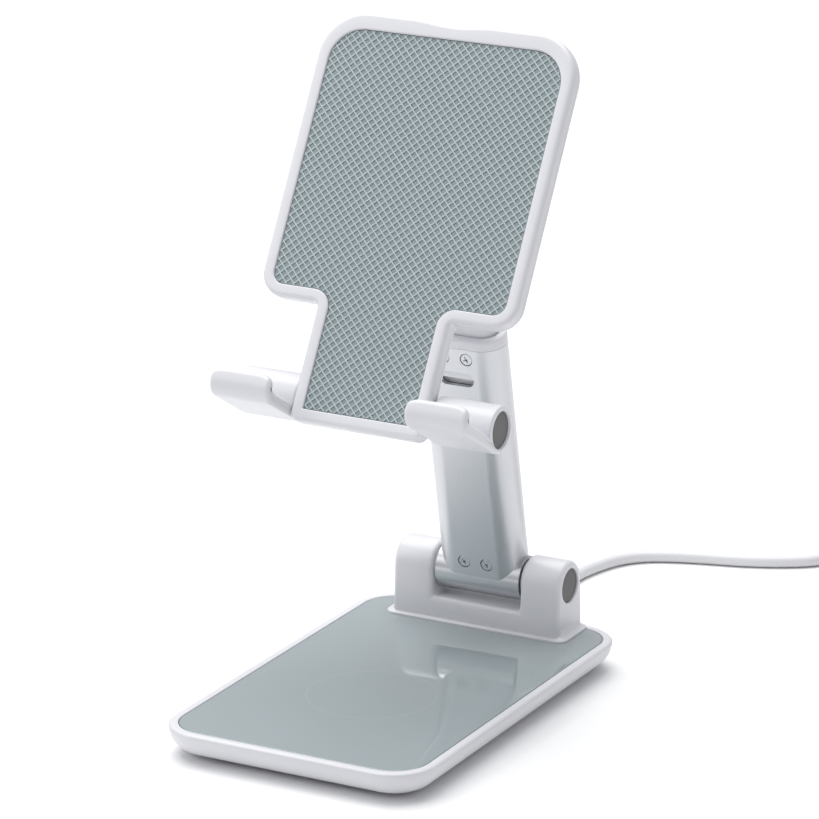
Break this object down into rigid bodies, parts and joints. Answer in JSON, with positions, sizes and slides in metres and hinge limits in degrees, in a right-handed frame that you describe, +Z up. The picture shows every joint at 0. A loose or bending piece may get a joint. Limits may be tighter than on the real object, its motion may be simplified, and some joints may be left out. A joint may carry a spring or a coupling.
{
  "type": "phone stand",
  "caption": "Folding desktop stand: flat charging base, leaning telescopic arm, tilting padded panel with a narrow neck and fold-up hooks that hold a phone, cord with plug.",
  "frame": {"origin": "middle of the base, on the table under the feet", "axes": "+X to the user's right along the pivots, +Y to the back, +Z up"},
  "size_m": [0.1647, 0.263, 0.1847],
  "materials": {
    "shell_white": "moulded, semi-gloss",
    "gloss_grey": "polished",
    "cover_grey": "moulded, fine texture",
    "screw_steel": "zinc plated",
    "foot_rubber": "matte",
    "ballast_steel": "zinc plated",
    "coil_copper": "enamelled copper winding",
    "ferrite": "sintered, matte",
    "board_green": "solder mask",
    "chip_black": "moulded",
    "arm_aluminium": "satin anodised",
    "pin_steel": "ground",
    "washer_nylon": "moulded",
    "cap_grey": "moulded",
    "bar_white": "moulded, semi-gloss",
    "pad_blue_grey": "ribbed silicone",
    "cord_white": "smooth PVC",
    "tie_grey": "coated wire",
    "plug_steel": "nickel plated"
  },
  "bodies": {
    "base": {"base_housing": "shell_white", "base_plate": "gloss_grey", "bottom_cover": "cover_grey", "cover_screws": "screw_steel", "base_feet": "foot_rubber", "ballast_plate": "ballast_steel", "charging_coil": "coil_copper", "ferrite_sheet": "ferrite", "circuit_board": "board_green", "board_parts": "chip_black", "hinge_bracket": "shell_white", "clamp_plate": "ballast_steel", "bracket_screws": "screw_steel", "lower_pin": "pin_steel", "lower_pin_nut": "screw_steel", "lower_washers": "washer_nylon", "bracket_caps": "cap_grey", "cord_relief": "cord_white", "cord_lead": "cord_white", "cord_winding": "cord_white", "cord_tie": "tie_grey", "cord_tail": "cord_white", "plug_grip": "cord_white", "plug_shell": "plug_steel", "plug_tongue": "washer_nylon"},
    "arm": {"lower_knuckle": "arm_aluminium", "arm_tube": "arm_aluminium", "knuckle_screws": "screw_steel", "arm_collar": "bar_white", "collar_screws": "screw_steel", "stop_key": "washer_nylon"},
    "slider": {"sliding_bar": "bar_white", "glide_shoe": "cap_grey", "glide_spring": "pin_steel", "upper_knuckle": "bar_white", "bar_screws": "screw_steel"},
    "panel": {"panel_back": "shell_white", "panel_frame": "shell_white", "panel_pad": "pad_blue_grey", "panel_screws": "screw_steel", "panel_stiffener": "ballast_steel", "upper_pin": "pin_steel", "upper_pin_nut": "screw_steel", "upper_washers": "washer_nylon", "shaft_bushes": "washer_nylon"},
    "hooks": {"hook_shaft": "pin_steel", "left_hook": "shell_white", "right_hook": "shell_white", "hook_screws": "screw_steel", "hook_caps": "cap_grey"}
  },
  "joints": [
    {"name": "base_hinge", "type": "hinge", "parent": "base", "child": "arm", "pos_m": [0, 0.0541, 0.0229], "axis": [1, 0, 0], "range_deg": [-20, 26]},
    {"name": "height_slide", "type": "slide", "parent": "arm", "child": "slider", "axis": [0, -0.1977, 0.9803], "range_m": [-0.04, 0.002]},
    {"name": "panel_tilt", "type": "hinge", "parent": "slider", "child": "panel", "pos_m": [0, 0.0289, 0.14788], "axis": [1, 0, 0], "range_deg": [-60, 36]},
    {"name": "hook_fold", "type": "hinge", "parent": "panel", "child": "hooks", "pos_m": [0, -0.01263, 0.0892], "axis": [-1, 0, 0], "range_deg": [0, 90]}
  ]
}
